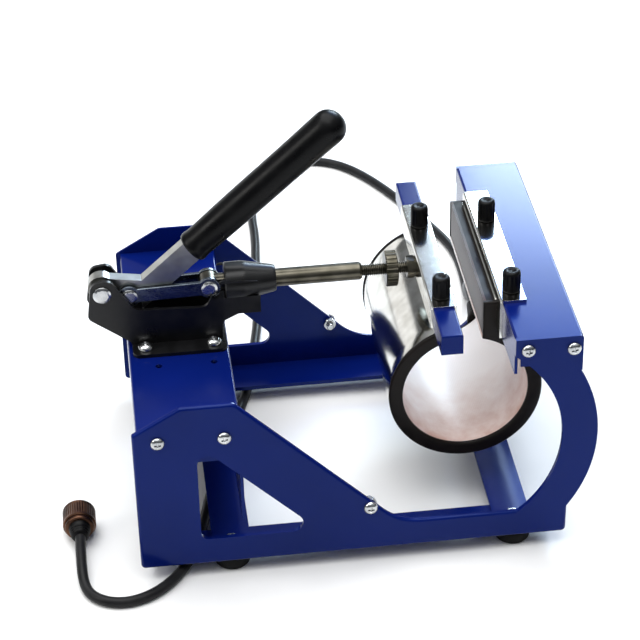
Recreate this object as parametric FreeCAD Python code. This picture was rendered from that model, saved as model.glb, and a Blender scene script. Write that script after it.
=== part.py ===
"""Mug heat press: two folded side plates carry a push-pull toggle clamp and a fixed jaw.

The clamp pushes a jaw bar that closes an open heater loop around a mug.
All lengths are millimetres. X runs from the clamp to the jaws, Y to the rear, Z up.
The origin is on the floor, under the middle of the press without its cord.
Places are first given from the side plates' left edge, front face and bottom edge
(x, y, z of "plate" space), and `at` moves them to the model's own frame.
"""
import FreeCAD, Part
import math
import os

Vec = FreeCAD.Vector

# ---- driving dimensions -------------------------------------------------------------
SPAN = 223.0                 # outside to outside of the two side plates
PLATE_T = 3.0
SHEET_T = 2.0                # folded tower and jaw channels
FOOT_H = 10.0
FOOT_R = 12.0
EAR_LEFT = -21.5             # corner of the clamp's ear, before its rounding
EAR_ROUNDED_OFF = 0.34
ARM_CENTRE = (196.0, 79.0)
ARM_INNER_R = 78.0
ARM_OUTER_R = 101.0
ARM_RIGHT = 279.0
FLANGE_W = 28.0              # inward fold along each side plate's bottom edge

TOWER_X = (3.0, 69.0)
TOWER_TOP = 106.0
TOWER_WALL = 75.0
TAB_H = 26.0
CREST_Z = 124.0
BASE_BAR_Z = 20.0
DIAGONAL_SUM = 189.0         # the plate's sloping edge lies on x + z = this
WINDOW_X = 40.0
WINDOW_SUM = 136.0

JAW_X = (242.0, 285.0)
JAW_TOP = 154.0
JAW_WALL = 27.0

ROD_Z = 144.5
ROD_R = 6.0
RUN = 0.05                   # radial running clearance of every pin, rod and stud
PIVOT_A = (-11.0, 149.0)     # lever on the clamp's ears
PIVOT_B = (6.5, 143.0)       # lever to links
PIVOT_C = (59.0, ROD_Z)      # links to plunger
EAR_PIN_R = 4.0
PIN_R = 3.5
LEVER_T = 8.0
LINK_T = 2.8
CHEEK_IN = 9.2               # half the gap between the clamp's two cheeks
CHEEK_T = 2.6
BARREL_X = (69.0, 103.0)
BARREL_NOSE_R = 9.2
BARREL_R = 13.0
CLAMP_X = (6.0, 68.0)
CLAMP_HALF_Y = 25.0
ROD_END = 160.0
FLATS_LEN = 17.0              # from pivot C to the end of the plunger's milled flats
SPINDLE_R = 4.0
SOCKET = 16.0                 # depth of the plunger's threaded socket
PRESSURE_NUT_X = (175.5, 183.5)
GRIP_START = (48.5, 171.6)
GRIP_ANGLE = 41.6
GRIP_LEN = 134.0
LEVER_HALF = 8.0

HEATER_C = (221.0, 79.5)
HEATER_Y = (56.0, 186.0)
BORE_R = 41.5                # an 82 mm mug fits
LINER_T = 0.6
MAT_T = 1.6
PAD_T = 5.8
SHELL_T = 1.0
GAP_HALF = 10.5              # half the slot between the heater's two ends
BAR_X = (197.0, 211.0)
BAR_Z = (140.0, JAW_TOP)
BAR_Y = (11.5, 207.0)
NECK_RIGHT_TOP = 148.0
BRACKET_T = 2.0
BRACKET_Y = (43.0, 183.0)
BRACKET_REACH = 15.0
SADDLE_T = 1.5
STUD_R = 2.5
KNOB_R = 6.0
KNOB_H = 15.0
STUD_IN_KNOB = 11.0
KNOB_Y = (56.0, 146.0)
FIXED_KNOB_X = 249.5

CORD_R = 3.5
PLUG_R = 11.0
PLUG_SLEEVE = 9.0
PLUG_BODY = 12.0
PLUG_FLANGE = 2.8
PLUG_RING = 15.0
BOOT_LEN = 24.0
LEAD_RADIUS = 46.0           # where the lead leaves the heater's rear end
LEAD_ANGLE = -45.0

SCREW_R = 2.5
SCREW_HEAD = (4.6, 3.0)        # radius and height of the side screws' heads
CLAMP_HEAD = (5.0, 3.6)
NUT_ACROSS = 8.0
SCREW_X_FEET = (60.0, 246.0)
FOOT_INSET = 14.0              # from each plate's outer face to a foot's centre
TOWER_SCREWS = [(16.0, 99.5), (58.0, 99.5)]
JAW_SCREWS = [(250.0, 146.0), (279.0, 145.0)]
STOP_BOLT = (150.0, 34.0)
SPARE_HOLES = [(22.0, 76.0), (58.0, 76.0)]
CLAMP_BOLTS = [(x, side * 17.0) for side in (-1, 1) for x in (14.5, 59.5)]
FOOT_PLACES = [(x, y) for x in SCREW_X_FEET for y in (FOOT_INSET, SPAN - FOOT_INSET)]
STRIP_HALF = 12.5
STRIP_T = 2.5

LEFT = -(EAR_LEFT + EAR_ROUNDED_OFF + ARM_CENTRE[0] + ARM_OUTER_R) / 2.0
FRONT = -SPAN / 2.0
MID_Y = SPAN / 2.0


def at(x, y, z):
    """Plate space to the model's frame."""
    return Vec(x + LEFT, y + FRONT, z + FOOT_H)


# ---- shape helpers ------------------------------------------------------------------
def block(xs, ys, zs):
    return Part.makeBox(xs[1] - xs[0], ys[1] - ys[0], zs[1] - zs[0], at(xs[0], ys[0], zs[0]))


def rod(start, direction, radius, length):
    return Part.makeCylinder(radius, length, at(*start), Vec(*direction))


def rod_y(xz, radius, y0, y1):
    return rod((xz[0], y0, xz[1]), (0, 1, 0), radius, y1 - y0)


def rounded_wire(corners, y):
    """Closed wire in a plane of constant y. A corner is (x, z, radius)."""
    points = [at(x, y, z) for x, z, _ in corners]
    edges = []
    joints = []
    for i, (_, _, radius) in enumerate(corners):
        here = points[i]
        back = (points[i - 1] - here).normalize()
        ahead = (points[(i + 1) % len(points)] - here).normalize()
        if radius == 0:
            joints.append((here, None, here))
            continue
        half = back.getAngle(ahead) / 2.0
        reach = radius / math.tan(half)
        middle = (back + ahead).normalize()
        centre = here + middle * (radius / math.sin(half))
        joints.append((here + back * reach, centre - middle * radius, here + ahead * reach))
    for i, (start, middle, end) in enumerate(joints):
        if middle is not None:
            edges.append(Part.Arc(start, middle, end).toShape())
        following = joints[(i + 1) % len(joints)][0]
        if (following - end).Length > 1e-6:
            edges.append(Part.LineSegment(end, following).toShape())
    return Part.Wire(edges)


def slab(corners, y0, y1):
    face = Part.Face(rounded_wire(corners, y0))
    return face.extrude(Vec(0, y1 - y0, 0))


def fused(shapes):
    solid = shapes[0].multiFuse(shapes[1:]) if len(shapes) > 1 else shapes[0]
    return solid.removeSplitter()


def eased(shape, radius, wanted):
    """Round the edges whose middle point satisfies `wanted` (plate space)."""
    chosen = []
    for edge in shape.Edges:
        middle = edge.valueAt((edge.FirstParameter + edge.LastParameter) / 2.0) - at(0, 0, 0)
        if wanted(middle, edge):
            chosen.append(edge)
    return shape.makeFillet(radius, chosen) if chosen else shape


def turned(profile, start, direction):
    """Solid of revolution. The profile is (distance along the axis, radius) points."""
    points = [Vec(radius, 0, along) for along, radius in profile]
    points = [Vec(0, 0, profile[0][0])] + points + [Vec(0, 0, profile[-1][0])]
    clean = [points[0]]
    for point in points[1:]:
        if (point - clean[-1]).Length > 1e-6:
            clean.append(point)
    wire = Part.makePolygon(clean + [clean[0]])
    solid = Part.Face(wire).revolve(Vec(0, 0, 0), Vec(0, 0, 1), 360)
    turn = FreeCAD.Rotation(Vec(0, 0, 1), Vec(*direction))
    solid.Placement = FreeCAD.Placement(at(*start), turn)
    return solid


def dome_screw(start, direction, head_r, head_h, shank_r, length):
    """Round-head screw: the head stands against `direction` from the start point."""
    head = [(-head_h, head_r * 0.45), (-head_h * 0.75, head_r * 0.8), (-head_h * 0.3, head_r),
            (0.0, head_r)]
    shank = [(0.0, shank_r), (length, shank_r)]
    return turned(head + shank, start, direction)


def hex_nut(start, direction, across, height, hole_r):
    """Hexagonal nut with its first face at the start point."""
    radius = across / math.sqrt(3.0)
    corners = [Vec(radius * math.cos(math.radians(60 * i)), radius * math.sin(math.radians(60 * i)), 0)
               for i in range(7)]
    body = Part.Face(Part.makePolygon(corners)).extrude(Vec(0, 0, height))
    crown = Part.makeCone(radius * 0.9 + height * 0.6, radius * 0.9, height, Vec(0, 0, 0))
    body = body.common(crown)
    body = body.cut(Part.makeCylinder(hole_r, height, Vec(0, 0, 0)))
    body.Placement = FreeCAD.Placement(at(*start), FreeCAD.Rotation(Vec(0, 0, 1), Vec(*direction)))
    return body


# ---- fasteners on both plates -------------------------------------------------------
def both_sides(places, maker):
    """Make one item on the front plate's face and its mirror on the rear plate's face."""
    made = []
    for x, z in places:
        made.append(maker((x, 0.0, z), (0, 1, 0)))
        made.append(maker((x, SPAN, z), (0, -1, 0)))
    return made


def side_screw(start, direction):
    return dome_screw(start, direction, *SCREW_HEAD, SCREW_R, 10.0)


def side_hole(start, direction):
    return rod(start, direction, SCREW_R, 14.0)


def foot_hole(place):
    return rod((place[0], place[1], -FOOT_H), (0, 0, 1), SCREW_R, 30.0)


# ---- frame --------------------------------------------------------------------------
def side_plate(y0, inward):
    """One side: tower, bar and C-shaped arm in one sheet, with a fold along its bottom."""
    y1 = y0 + PLATE_T
    cx, cz = ARM_CENTRE
    tower = slab([(0, 0, 3), (0, TOWER_TOP, 2), (31, CREST_Z, 6), (DIAGONAL_SUM - CREST_Z, CREST_Z, 6),
                  (DIAGONAL_SUM - BASE_BAR_Z, BASE_BAR_Z, 34), (262, BASE_BAR_Z, 0), (262, 0, 0)], y0, y1)
    disc = rod_y(ARM_CENTRE, ARM_OUTER_R, y0, y1)
    hole = rod_y(ARM_CENTRE, ARM_INNER_R, y0, y1)
    arm = disc.common(block((JAW_X[0], 400), (y0, y1), (0, JAW_TOP)))
    heel = slab([(250, 0, 0), (ARM_RIGHT, 0, 3), (ARM_RIGHT + 0.4, 24, 0), (250, 24, 0)], y0, y1)
    pad = slab([(JAW_X[0], 128, 0), (JAW_X[0], JAW_TOP, 2), (JAW_X[1], JAW_TOP, 2),
                (JAW_X[1], 128, 0)], y0, y1)
    plate = fused([tower, fused([arm, heel, pad]).cut(hole)])
    window = slab([(WINDOW_X, BASE_BAR_Z, 5), (WINDOW_X, WINDOW_SUM - WINDOW_X, 7),
                   (WINDOW_SUM - BASE_BAR_Z, BASE_BAR_Z, 7)], y0, y1)
    plate = plate.cut(window)
    fold_y = (y1, y1 + FLANGE_W) if inward > 0 else (y0 - FLANGE_W, y0)
    fold = block((5, 272), fold_y, (0, PLATE_T))
    fold = eased(fold, 8.0, lambda m, e: e.Length < PLATE_T + 0.1 and abs(m.y - fold_y[inward > 0]) < 0.1)
    plate = fused([plate, fold])
    face_y = y0 if inward > 0 else y1
    plate = eased(plate, 2.0, lambda m, e: abs(m.z) < 0.1 and abs(m.y - face_y) < 0.1 and e.Length > 100)
    return plate


def folded_cover(xs, top, wall, tab):
    """Sheet cover between the side plates: a top, two long walls and two screwed end tabs."""
    t = SHEET_T
    ys = (PLATE_T, SPAN - PLATE_T)
    cover = [block(xs, ys, (top - t, top)),
             block((xs[0], xs[0] + t), ys, (top - wall, top)),
             block((xs[1] - t, xs[1]), ys, (top - wall, top)),
             block((xs[0] + 4, xs[1] - 4), (ys[0], ys[0] + t), (top - tab, top)),
             block((xs[0] + 4, xs[1] - 4), (ys[1] - t, ys[1]), (top - tab, top))]
    cover = fused(cover)

    def long_corner(middle, edge):
        at_side = min(abs(middle.x - xs[0]), abs(middle.x - xs[1])) < 0.1
        return at_side and abs(middle.z - top) < 0.1 and edge.Length > 100
    return eased(cover, 1.6, long_corner)


def tower_channel():
    cover = folded_cover(TOWER_X, TOWER_TOP, TOWER_WALL, TAB_H)
    for x, y in SPARE_HOLES:
        cover = cover.cut(rod((x, y, TOWER_TOP - 5), (0, 0, 1), 2.2, 10))
    for x, dy in CLAMP_BOLTS:
        cover = cover.cut(rod((x, MID_Y + dy, TOWER_TOP - 5), (0, 0, 1), SCREW_R, 10))
    for tool in both_sides(TOWER_SCREWS, side_hole):
        cover = cover.cut(tool)
    return cover


def jaw_channel():
    cover = folded_cover(JAW_X, JAW_TOP, JAW_WALL, 22.0)
    for tool in both_sides(JAW_SCREWS, side_hole):
        cover = cover.cut(tool)
    for y in KNOB_Y:
        cover = cover.cut(rod((FIXED_KNOB_X, y, JAW_TOP - 5), (0, 0, 1), STUD_R, 10))
    return cover


def drilled_plate(y0, inward):
    plate = side_plate(y0, inward)
    for tool in both_sides(TOWER_SCREWS + JAW_SCREWS + [STOP_BOLT], side_hole):
        plate = plate.cut(tool)
    for place in FOOT_PLACES:
        plate = plate.cut(foot_hole(place))
    return plate


def cross_strip(x):
    """Flat strip that ties the two folds together over a pair of feet."""
    ys = (PLATE_T + 1.0, SPAN - PLATE_T - 1.0)
    strip = block((x - STRIP_HALF, x + STRIP_HALF), ys, (PLATE_T, PLATE_T + STRIP_T))
    for place in FOOT_PLACES:
        strip = strip.cut(foot_hole(place))
    return strip


def rubber_foot(place):
    x, y = place
    foot = turned([(0.0, FOOT_R - 2.0), (1.5, FOOT_R), (FOOT_H, FOOT_R - 1.0)], (x, y, -FOOT_H), (0, 0, 1))
    pocket = rod((x, y, -FOOT_H), (0, 0, 1), 5.5, 4.0)
    return foot.cut(pocket).cut(foot_hole(place))


def foot_screw(place):
    x, y = place
    return turned([(1.0, 5.0), (4.0, 5.0), (4.0, SCREW_R), (FOOT_H + PLATE_T + STRIP_T + 4.0, SCREW_R)],
                  (x, y, -FOOT_H), (0, 0, 1))


def foot_nut(place):
    nut_z = PLATE_T + STRIP_T
    return hex_nut((place[0], place[1], nut_z), (0, 0, 1), NUT_ACROSS, 3.6, SCREW_R)


def stop_nuts():
    """Nuts on the inner faces, for the bolts at the foot of each plate's slope."""
    x, z = STOP_BOLT
    return [hex_nut((x, PLATE_T, z), (0, 1, 0), NUT_ACROSS, 3.6, SCREW_R),
            hex_nut((x, SPAN - PLATE_T, z), (0, -1, 0), NUT_ACROSS, 3.6, SCREW_R)]


# ---- push-pull clamp ----------------------------------------------------------------
def clamp_base():
    """Stamped base: bolted sole, two cheeks with rear ears, and a saddle for the barrel."""
    sole = block(CLAMP_X, (MID_Y - CLAMP_HALF_Y, MID_Y + CLAMP_HALF_Y), (TOWER_TOP, TOWER_TOP + CHEEK_T))
    sole = eased(sole, 5.0, lambda m, e: e.Length < CHEEK_T + 0.1)
    outline = [(CLAMP_X[0] + 2, TOWER_TOP, 0), (5, 111, 4), (EAR_LEFT, 131, 5), (-18, 157, 6),
               (-5, 159, 6), (9, 135, 8), (56, 133, 6), (66, ROD_Z + 8, 4), (92, ROD_Z + 6, 3),
               (92, ROD_Z - 8, 4), (83, 129, 5), (CLAMP_X[1] - 2, 121, 6), (CLAMP_X[1] - 2, TOWER_TOP, 0)]
    parts = [sole]
    for y0 in (MID_Y - CHEEK_IN - CHEEK_T, MID_Y + CHEEK_IN):
        parts.append(slab(outline, y0, y0 + CHEEK_T))
    web = block((76, 92), (MID_Y - CHEEK_IN, MID_Y + CHEEK_IN), (ROD_Z - 20, ROD_Z - 4))
    parts.append(web)
    base = fused(parts)
    base = base.cut(rod((60, MID_Y, ROD_Z), (1, 0, 0), BARREL_R, 60))
    base = base.cut(rod_y(PIVOT_A, EAR_PIN_R, 0, SPAN))
    for x, dy in CLAMP_BOLTS:
        base = base.cut(rod((x, MID_Y + dy, TOWER_TOP - 5), (0, 0, 1), SCREW_R, 12))
    return base


def clamp_barrel():
    x0, x1 = BARREL_X
    length = x1 - x0
    sleeve = turned([(0.0, BARREL_R - 1.0), (1.0, BARREL_R), (12.0, BARREL_R), (length - 2.0, BARREL_NOSE_R),
                     (length, BARREL_NOSE_R - 0.8)], (x0, MID_Y, ROD_Z), (1, 0, 0))
    return sleeve.cut(rod((x0 - 5, MID_Y, ROD_Z), (1, 0, 0), ROD_R + RUN, length + 10))


def clamp_bolt(place):
    x, dy = place
    return dome_screw((x, MID_Y + dy, TOWER_TOP + CHEEK_T), (0, 0, -1), *CLAMP_HEAD, SCREW_R, 14.0)


def clamp_nut(place):
    x, dy = place
    return hex_nut((x, MID_Y + dy, TOWER_TOP - SHEET_T), (0, 0, -1), NUT_ACROSS, 4.0, SCREW_R)


def cross_pin(xz, radius, half, head_r, head_t):
    """Rivet through the clamp: shank and two low heads."""
    y0 = MID_Y - half - head_t
    profile = [(0.0, head_r * 0.7), (head_t * 0.5, head_r), (head_t, head_r), (head_t, radius),
               (head_t + 2 * half, radius), (head_t + 2 * half, head_r),
               (1.5 * head_t + 2 * half, head_r), (2 * head_t + 2 * half, head_r * 0.7)]
    return turned(profile, (xz[0], y0, xz[1]), (0, 1, 0))


def handle_lever():
    """Flat lever: two eyes at its root and a straight tang that runs up inside the grip."""
    y0, y1 = MID_Y - LEVER_T / 2, MID_Y + LEVER_T / 2
    ax, az = PIVOT_A
    bx, bz = PIVOT_B
    gx, gz = GRIP_START
    angle = math.radians(GRIP_ANGLE)
    ux, uz = math.cos(angle), math.sin(angle)

    def along(distance, side):
        return (gx + ux * distance - uz * side, gz + uz * distance + ux * side, 0)
    web = slab([(ax - 1, az + 8.0, 3), (ax - 1, az - 8.0, 5), (bx - 1, bz - 8.6, 6),
                (bx + 10, bz - 6, 4), (bx + 14, bz + 9, 4)], y0, y1)
    arm = slab([along(-52.0, -LEVER_HALF), along(62.0, -LEVER_HALF), along(62.0, LEVER_HALF),
                along(-40.0, LEVER_HALF)], y0, y1)
    lever = fused([web, arm, rod_y(PIVOT_A, 9.0, y0, y1), rod_y(PIVOT_B, 8.5, y0, y1)])
    lever = lever.cut(rod_y(PIVOT_A, EAR_PIN_R + RUN, y0 - 1, y1 + 1))
    return lever.cut(rod_y(PIVOT_B, PIN_R, y0 - 1, y1 + 1))


def handle_grip():
    angle = math.radians(GRIP_ANGLE)
    direction = (math.cos(angle), 0, math.sin(angle))
    start = (GRIP_START[0], MID_Y, GRIP_START[1])
    profile = [(0.0, 9.6), (1.5, 10.4), (20.0, 10.9), (60.0, 11.5), (112.0, 11.8)]
    steps = 6
    for i in range(steps + 1):
        turn = math.radians(90.0 * i / steps)
        profile.append((GRIP_LEN - 11.5 + 11.5 * math.sin(turn), 0.4 + 11.4 * math.cos(turn)))
    grip = turned(profile, start, direction)
    slot = Part.makeBox(64.0, LEVER_T, 2 * LEVER_HALF, Vec(-1.0, -LEVER_T / 2, -LEVER_HALF))
    slot.Placement = FreeCAD.Placement(at(*start), FreeCAD.Rotation(Vec(0, 1, 0), -GRIP_ANGLE))
    return grip.cut(slot)


def plunger_pin():
    """Core of the pin inside the plunger's tongue; its two heads belong to the links."""
    return rod_y(PIVOT_C, PIN_R, MID_Y - LEVER_T / 2, MID_Y + LEVER_T / 2)


def link_layers():
    inner = LEVER_T / 2 + 0.4
    outer = inner + LINK_T
    return [(MID_Y - outer, MID_Y - inner), (MID_Y + inner, MID_Y + outer)]


def toggle_link(y0, y1):
    """One of the two flat links between the lever and the plunger."""
    bx, bz = PIVOT_B
    cx, cz = PIVOT_C
    waist = slab([(bx, bz - 5.0, 0), (cx, cz - 5.0, 0), (cx, cz + 5.0, 0), (bx, bz + 5.0, 0)], y0, y1)
    link = fused([waist, rod_y(PIVOT_B, 7.5, y0, y1), rod_y(PIVOT_C, 7.5, y0, y1)])
    return link.cut(rod_y(PIVOT_B, PIN_R + RUN, y0 - 1, y1 + 1))


def link_head(y0, y1):
    outer = y0 if y0 < MID_Y else y1
    side = -1 if y0 < MID_Y else 1
    return turned([(0.0, 5.4), (0.8, 5.4), (1.4, 3.6)], (PIVOT_C[0], outer, PIVOT_C[1]), (0, side, 0))


def plunger():
    """Sliding rod with two milled flats at its tail and a threaded socket in its nose."""
    cx = PIVOT_C[0]
    y0, y1 = MID_Y - LEVER_T / 2, MID_Y + LEVER_T / 2
    length = ROD_END - cx
    bar = turned([(0.0, ROD_R), (length - 1.5, ROD_R), (length, ROD_R - 1.0)], (cx, MID_Y, ROD_Z), (1, 0, 0))
    for ys in ((0, y0), (y1, SPAN)):
        bar = bar.cut(block((cx - 1, cx + FLATS_LEN), ys, (ROD_Z - ROD_R - 1, ROD_Z + ROD_R + 1)))
    body = fused([bar, rod_y(PIVOT_C, ROD_R + 1.0, y0, y1)])
    body = body.cut(rod_y(PIVOT_C, PIN_R, y0 - 1, y1 + 1))
    return body.cut(rod((ROD_END - SOCKET, MID_Y, ROD_Z), (1, 0, 0), SPINDLE_R, SOCKET + 1))


def spindle():
    return rod((ROD_END - SOCKET, MID_Y, ROD_Z), (1, 0, 0), SPINDLE_R, BAR_X[0] - ROD_END + SOCKET)


def pressure_nut():
    """Knurled disc nut: small teeth around its rim."""
    x0, x1 = PRESSURE_NUT_X
    disc = turned([(0.0, 11.0), (0.8, 12.0), (x1 - x0 - 0.8, 12.0), (x1 - x0, 11.0)],
                  (x0, MID_Y, ROD_Z), (1, 0, 0))
    teeth = 24
    for i in range(teeth):
        turn = 2 * math.pi * i / teeth
        place = (x0 - 1, MID_Y + 12.2 * math.cos(turn), ROD_Z + 12.2 * math.sin(turn))
        disc = disc.cut(rod(place, (1, 0, 0), 0.8, x1 - x0 + 2))
    return disc.cut(rod((x0 - 1, MID_Y, ROD_Z), (1, 0, 0), SPINDLE_R + RUN, x1 - x0 + 2))


# ---- jaws and heater ----------------------------------------------------------------
def jaw_bar():
    """Narrow folded channel, open underneath, pushed by the spindle at its middle."""
    bar = block(BAR_X, BAR_Y, BAR_Z)
    bar = eased(bar, 1.2, lambda m, e: abs(m.z - BAR_Z[1]) < 0.1)
    t = SADDLE_T
    inside = [(low + t, high - t) for low, high in (BAR_X, BAR_Y)]
    bar = bar.cut(block(*inside, (BAR_Z[0] - 1, BAR_Z[1] - t)))
    for y in KNOB_Y:
        bar = bar.cut(rod((moving_stud_x(), y, BAR_Z[0]), (0, 0, 1), STUD_R, 30))
    return bar


def moving_stud_x():
    return (BAR_X[0] + BAR_X[1]) / 2.0


def jaw_saddle():
    """Bare strip folded over the bar, under the two thumb nuts and the spindle's lock nut."""
    t = SADDLE_T
    ys = (BRACKET_Y[0], BRACKET_Y[1] - 10)
    saddle = block((BAR_X[0] - t, BAR_X[1] + t), ys, (BAR_Z[0], JAW_TOP + t))
    saddle = eased(saddle, t, lambda m, e: abs(m.z - JAW_TOP - t) < 0.1 and e.Length > 50)
    saddle = saddle.cut(block(BAR_X, BAR_Y, BAR_Z))
    saddle = saddle.cut(rod((BAR_X[0] - 5, MID_Y, ROD_Z), (1, 0, 0), SPINDLE_R, 6))
    for y in KNOB_Y:
        saddle = saddle.cut(rod((moving_stud_x(), y, JAW_TOP - 1), (0, 0, 1), STUD_R, 10))
    return saddle


def horseshoe(r_in, r_out, half_in, half_out, left_top, right_top):
    """Open loop along Y: a ring with two straight necks that rise beside the slot."""
    cx, cz = HEATER_C
    y0, y1 = HEATER_Y
    outer = fused([rod_y(HEATER_C, r_out, y0, y1),
                   block((cx - half_out, cx), (y0, y1), (cz, left_top)),
                   block((cx - 1, cx + half_out), (y0, y1), (cz, right_top))])
    inner = fused([rod_y(HEATER_C, r_in, y0 - 1, y1 + 1),
                   block((cx - half_in, cx + half_in), (y0 - 1, y1 + 1), (cz, 200))])
    return outer.cut(inner)


def heater_layer(index):
    """The loop's layers from the bore outwards: heating mat, foam pad and steel shell."""
    steps = [LINER_T, MAT_T, PAD_T, SHELL_T]
    offset = sum(steps[:index])
    thick = steps[index]
    left_top = BAR_Z[0] - BRACKET_T
    half = GAP_HALF + offset - LINER_T
    return horseshoe(BORE_R + offset, BORE_R + offset + thick, half, half + thick, left_top, NECK_RIGHT_TOP)


def heater_liner():
    """Thin non-stick cloth on the round part of the bore."""
    cx, cz = HEATER_C
    y0, y1 = HEATER_Y
    ring = rod_y(HEATER_C, BORE_R + LINER_T, y0, y1).cut(rod_y(HEATER_C, BORE_R, y0 - 1, y1 + 1))
    return ring.cut(block((cx - GAP_HALF - 4, cx + GAP_HALF + 4), (y0 - 1, y1 + 1), (cz, cz + 60)))


def neck_outside():
    return GAP_HALF + MAT_T + PAD_T + SHELL_T


def moving_bracket():
    """Angle that hangs under the jaw bar and holds the heater's moving end."""
    t = BRACKET_T
    right = HEATER_C[0] - neck_outside()
    foot = block(BAR_X, BRACKET_Y, (BAR_Z[0] - t, BAR_Z[0]))
    leg = block((right - t, right), BRACKET_Y, (BAR_Z[0] - 9.5, BAR_Z[0]))
    bracket = fused([foot, leg])
    for y in KNOB_Y:
        bracket = bracket.cut(rod((moving_stud_x(), y, 100), (0, 0, 1), STUD_R, 60))
    return bracket


def fixed_bracket():
    """Polished angle over the fixed channel's left edge."""
    left = JAW_X[0] - BRACKET_T
    top = block((left, JAW_X[0] + BRACKET_REACH), BRACKET_Y, (JAW_TOP, JAW_TOP + BRACKET_T))
    leg = block((left, JAW_X[0]), BRACKET_Y, (JAW_TOP - 26.0, JAW_TOP + BRACKET_T))
    bracket = fused([top, leg])
    bracket = eased(bracket, 1.5, lambda m, e: abs(m.x - left) < 0.1 and m.z > JAW_TOP + 1 and e.Length > 50)
    for y in KNOB_Y:
        bracket = bracket.cut(rod((FIXED_KNOB_X, y, JAW_TOP - 5), (0, 0, 1), STUD_R, 20))
    return bracket


def stud(x, y, bottom, top):
    return rod((x, y, bottom), (0, 0, 1), STUD_R, top - bottom)


def stud_nut(x, y, bottom_face):
    return hex_nut((x, y, bottom_face), (0, 0, -1), NUT_ACROSS, 4.0, STUD_R)


def thumb_nut(x, y, seat):
    """Tall round nut with six shallow grip flutes and a domed top."""
    body = turned([(0.0, KNOB_R - 0.8), (0.8, KNOB_R), (KNOB_H - 3.0, KNOB_R), (KNOB_H - 1.0, KNOB_R - 1.2),
                   (KNOB_H, KNOB_R - 3.0)], (x, y, seat), (0, 0, 1))
    flutes = 6
    for i in range(flutes):
        turn = 2 * math.pi * i / flutes
        reach = KNOB_R + 1.3
        body = body.cut(rod((x + reach * math.cos(turn), y + reach * math.sin(turn), seat - 1),
                            (0, 0, 1), 2.0, KNOB_H + 2))
    return body.cut(rod((x, y, seat - 1), (0, 0, 1), STUD_R + RUN, KNOB_H - 2.5))


# ---- heater lead --------------------------------------------------------------------
def lead_exit():
    turn = math.radians(LEAD_ANGLE)
    return (HEATER_C[0] + LEAD_RADIUS * math.cos(turn), HEATER_C[1] + LEAD_RADIUS * math.sin(turn))


def lead_route():
    """Centre line of the lead: out of the heater's rear, down, round on the floor, under the frame."""
    ex, ez = lead_exit()
    y = HEATER_Y[1] + BOOT_LEN
    floor = CORD_R - FOOT_H
    plug_z = PLUG_R - FOOT_H
    places = [(ex, y, ez), (ex + 0.6, y + 22, ez - 0.5), (ex + 4, y + 46, ez - 12),
              (ex + 8, y + 66, ez - 34), (ex + 13, y + 92, floor), (269, 340, floor),
              (267, 376, floor), (254, 412, floor), (238, 452, floor), (217, 494, floor),
              (196.5, 521, floor), (174.5, 532.5, floor),
              (150, 530.5, floor), (130, 515.5, floor), (118, 488, floor), (113, 451, floor),
              (113, 412, floor), (109, 372, floor), (107, 332, floor), (103, 290, floor),
              (96, 250, floor), (89, 208, floor), (77, 170, floor), (66, 130, floor), (53, 92, floor),
              (45, 56, floor), (36, 22, floor), (23, -2, floor), (9, -16, floor), (-5.5, -23, floor),
              (-19.5, -23, floor), (-31, -16.5, floor), (-37.5, -5, floor), (-38.8, 13, plug_z - 1.8),
              (-38.5, 38, plug_z)]
    return [at(*place) for place in places]


def cord_path(points):
    """Straight runs joined by the largest tangent arcs that the runs leave room for."""
    edges = []
    radii = []
    last = points[0]
    length = 0.0
    for i in range(1, len(points) - 1):
        here = points[i]
        back = points[i - 1] - here
        ahead = points[i + 1] - here
        reach = 0.45 * min(back.Length, ahead.Length)
        back.normalize()
        ahead.normalize()
        half_turn = (math.pi - back.getAngle(ahead)) / 2.0
        radius = reach / math.tan(half_turn)
        middle = (back + ahead).normalize()
        centre = here + middle * (radius / math.cos(half_turn))
        start = here + back * reach
        end = here + ahead * reach
        edges.append(Part.LineSegment(last, start).toShape())
        edges.append(Part.Arc(start, centre - middle * radius, end).toShape())
        length += (start - last).Length + 2 * half_turn * radius
        radii.append(radius)
        last = end
    edges.append(Part.LineSegment(last, points[-1]).toShape())
    length += (points[-1] - last).Length
    return Part.Wire(edges), radii, length


def heater_lead():
    points = lead_route()
    path, radii, length = cord_path(points)
    ring = Part.Wire(Part.Circle(points[0], points[1] - points[0], CORD_R).toShape())
    tube = path.makePipeShell([ring], True, False)
    expected = math.pi * CORD_R ** 2 * length
    runs = [(b - a).Length for a, b in zip(points, points[1:])]
    print("lead: length %.0f mm, smallest radius %.1f mm" % (length, min(radii)))
    print("lead radii:", " ".join("%.0f" % radius for radius in radii))
    print("lead runs:", " ".join("%.0f" % run for run in runs))
    print("lead volume / expected: %.4f" % (tube.Volume / expected))
    beyond = Part.makeBox(20, 5, 20, points[-1] - FreeCAD.Vector(10, 0, 10))
    return tube.cut(beyond)


def lead_boot():
    """Tapered strain relief on the heater's rear end."""
    ex, ez = lead_exit()
    y = HEATER_Y[1]
    boot = turned([(0.0, 8.0), (4.0, 8.0), (5.5, 6.8), (BOOT_LEN - 2.0, 4.9), (BOOT_LEN, 4.5)],
                  (ex, y, ez), (0, 1, 0))
    return boot


def plug_place():
    places = lead_route()
    tip = places[-1] - at(0, 0, 0)
    return (tip.x, tip.y, tip.z)


def plug_sleeve():
    """Clamp ring where the lead enters the round connector."""
    return turned([(0.0, 4.6), (1.5, 6.0), (PLUG_SLEEVE, 7.5)], plug_place(), (0, 1, 0))


def plug_body():
    x, y, z = plug_place()
    rim = 9.8
    neck = 8.6
    return turned([(0.0, rim - 0.8), (0.8, rim), (PLUG_FLANGE, rim), (PLUG_FLANGE, neck), (PLUG_BODY, neck)],
                  (x, y + PLUG_SLEEVE, z), (0, 1, 0))


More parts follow.
